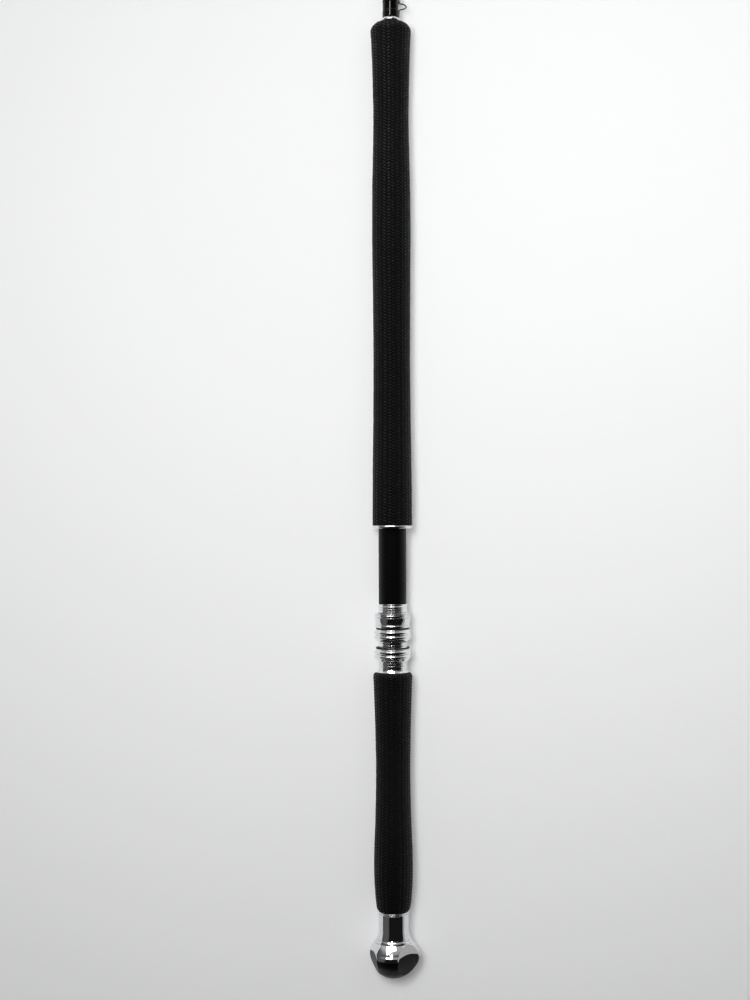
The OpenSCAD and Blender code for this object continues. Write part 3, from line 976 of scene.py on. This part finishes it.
def build_collar():
    outer = smooth([[13.5, -131.2], [13.8, -132.0], [14.3, -133.0], [15.0, -134.1]])
    outline = [[12.95, -134.35], [12.95, -131.2]] + outer + [[14.8, -134.35]]
    obj = lathe("seat_collar_ring", softened(outline, 0.12), 160)
    place(obj, BRIGHT, "rod", "polished_aluminium", "seat_collar")


# ---- Butt cap


def build_neck_ring():
    front, back = GRIP_END - 0.05, -357.95
    bead = smooth([[13.8, front], [14.25, front - 0.5], [14.25, front - 1.0], [13.8, front - 1.5]])
    outline = [[12.2, front]] + bead + [[13.5, front - 1.6], [13.5, back], [12.2, back]]
    obj = lathe("neck_ring_bead", softened(outline, 0.1), 160)
    place(obj, BRIGHT, "rod", "polished_aluminium", "neck_ring")


def build_hub():
    cove = smooth([[13.9, -374.3], [14.35, -377.2], [15.0, -379.5], [15.6, -380.9]])
    flare = smooth(
        [[18.2, -384.2], [20.3, -387.2], [22.2, -390.5], [23.25, -392.6], [CROWN_R, CROWN_Y]]
    )
    outline = [[12.0, -386], [12.0, -358], [13.6, -358], [13.9, -358.3]]
    outline += cove + [[15.4, -381.0], [15.4, -381.4], [16.3, -381.5], [17.5, -383.6]]
    outline += [[17.2, -383.7], [17.2, -384.1]] + flare
    outline += [[23.8, -397.6], [23.1, -394.6], [20.2, -393.0], [15, -389.9], [3.05, -389.9]]
    outline += [[3.05, -386]]
    obj = lathe("butt_hub_body", softened(outline, 0.1, 3), 288)
    mill_flats(obj, -383.9)
    place(obj, CROWN, "rod", "polished_aluminium", "butt_hub")


def build_dome():
    skin = smooth(
        [
            [23.85, -397.98], [23.5, -400.0], [22.7, -402.5], [20.9, -405.6], [18.1, -409.1],
            [14.5, -412.7], [8.8, -416.2], [3.2, -417.48], [0.0, -417.6],
        ]
    )  # fmt: skip
    outline = [[0, -404], [3.05, -404], [3.05, -389.98], [15, -389.98], [20.2, -393.08]]
    outline = softened(outline + [[23.02, -394.68], [23.72, -397.68]] + skin, 0.12, 3)
    obj = lathe("butt_dome_cap", outline, 288)
    mill_flats(obj, -380)
    place(obj, DOME, "rod", "black_rubber", "butt_dome")


build_blank()
winding("ferrule_winding", TIP_Y - 46, TIP_Y - 2, None, "ferrule_wrap")
winding("keeper_winding_front", 487.1, 497.1, 487.5, "keeper_wrap_front")
winding("keeper_winding_rear", 472.9, 480.1, 479.7, "keeper_wrap_rear")
build_keeper()
build_check()
build_grips()
build_pipe()
build_barrel()
build_hood()
build_nut("front_nut_ring", FRONT_NUT, "front_nut", "front_lock_nut")
build_nut("rear_nut_ring", REAR_NUT, "rear_nut", "rear_lock_nut")
build_collar()
build_neck_ring()
build_hub()
build_dome()

keep("fixed_hood", BRIGHT, 0.15)
keep("fixed_hood_cushion", CUSHION)
keep("movable_hood_cushion", CUSHION)
keep("hood_washer", NYLON, 0.12)
keep("rear_nut_washer", NYLON, 0.12)
keep("foregrip_core", CORE)
keep("rear_grip_core", CORE)
for part in ("seat_arbor_front", "seat_arbor_middle", "seat_arbor_rear", "butt_arbor"):
    keep(part, ARBOR)
keep("dome_stud", STUD)
keep("stud_nut", NUT, 0.15)

# ---- Floor, light and camera

crown_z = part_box("butt_hub")[0].z
shoulder_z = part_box("foregrip_sleeve")[0].z
slope = (shoulder_z - crown_z) / ((FOREGRIP_SHOULDER - CROWN_Y) * MM)


def floor_height(y):
    """The card just clears the crown and the foregrip's shoulder."""
    return crown_z - 0.3 * MM + (y - CROWN_Y * MM) * slope


mesh = bpy.data.meshes.new("floor")
half = 5.0
corners = [(-half, -half), (half, -half), (half, half), (-half, half)]
mesh.from_pydata([(x, y, floor_height(y)) for x, y in corners], [], [(0, 1, 2, 3)])
floor = bpy.data.objects.new("floor", mesh)
bpy.context.scene.collection.objects.link(floor)
floor.data.materials.append(paper())


def panel(name, place_at, aim, width, length, radiance, mirrored, shades=True):
    """A soft rectangular light with a given brightness of its surface. Shiny pieces show the mirrored ones,
    and the others only light the floor and the dull surfaces."""
    data = bpy.data.lights.new(name, "AREA")
    data.shape, data.size, data.size_y = "RECTANGLE", width, length
    data.energy = radiance * math.pi * width * length
    obj = bpy.data.objects.new(name, data)
    obj.location = place_at
    obj.rotation_mode = "QUATERNION"
    obj.rotation_quaternion = (Vector(aim) - Vector(place_at)).to_track_quat("-Z", "Y")
    obj.visible_glossy = mirrored
    obj.visible_diffuse = not mirrored
    data.use_shadow = shades
    bpy.context.scene.collection.objects.link(obj)


panel("strip", (-0.44, 1.11, 2.0), (0, 0.48, 0), 0.4, 0.2, 22.0, True)
panel("window", (-0.6, 2.15, 1.8), (0, -0.35, 0), 2.4, 1.2, 3.0, True)
panel("key", (-0.25, 0.3, 1.5), (-0.2, 0.2, 0), 0.5, 0.5, 19.5, False)
panel("fill", (0.6, 0.5, 1.2), (0.2, 0.2, 0), 0.5, 0.5, 11.2, False, shades=False)

world = bpy.data.worlds.new("studio")
world.use_nodes = True
bpy.context.scene.world = world
g = Graph("studio", world.node_tree)
x, y, z = g.split(g.direction)
left = (x * -1.0).step(0.5, 0.68) * z.step(0.03, 0.1)
right = x.step(0.38, 0.56) * (1.0 - z.step(0.22, 0.36))
ahead = y.step(0.5, 0.72)
dim, ambient, backdrop = 0.014, 0.117, 0.82
room = dim + left * 0.115 + right * 0.45 + ahead * 0.45
path = world.node_tree.nodes.new("ShaderNodeLightPath")
seen = Value(g, path.outputs["Is Camera Ray"])
bounced = Value(g, path.outputs["Is Diffuse Ray"])
strength = room + seen * (backdrop - room) + bounced * (ambient - room)
background = world.node_tree.nodes["Background"]
background.inputs["Color"].default_value = (1.0, 1.0, 1.0, 1.0)
g.put(strength, background.inputs["Strength"])

camera = bpy.data.cameras.new("camera")
camera.lens = 55.8
camera.clip_start, camera.clip_end = 0.05, 50
eye = bpy.data.objects.new("camera", camera)
eye.location = (-0.016, 0.0256, 1.44)
eye.rotation_euler = (0, 0, -0.0034)
bpy.context.scene.collection.objects.link(eye)
bpy.context.scene.camera = eye
bpy.context.scene.view_settings.view_transform = "Standard"
bpy.context.scene.view_settings.gamma = 0.85
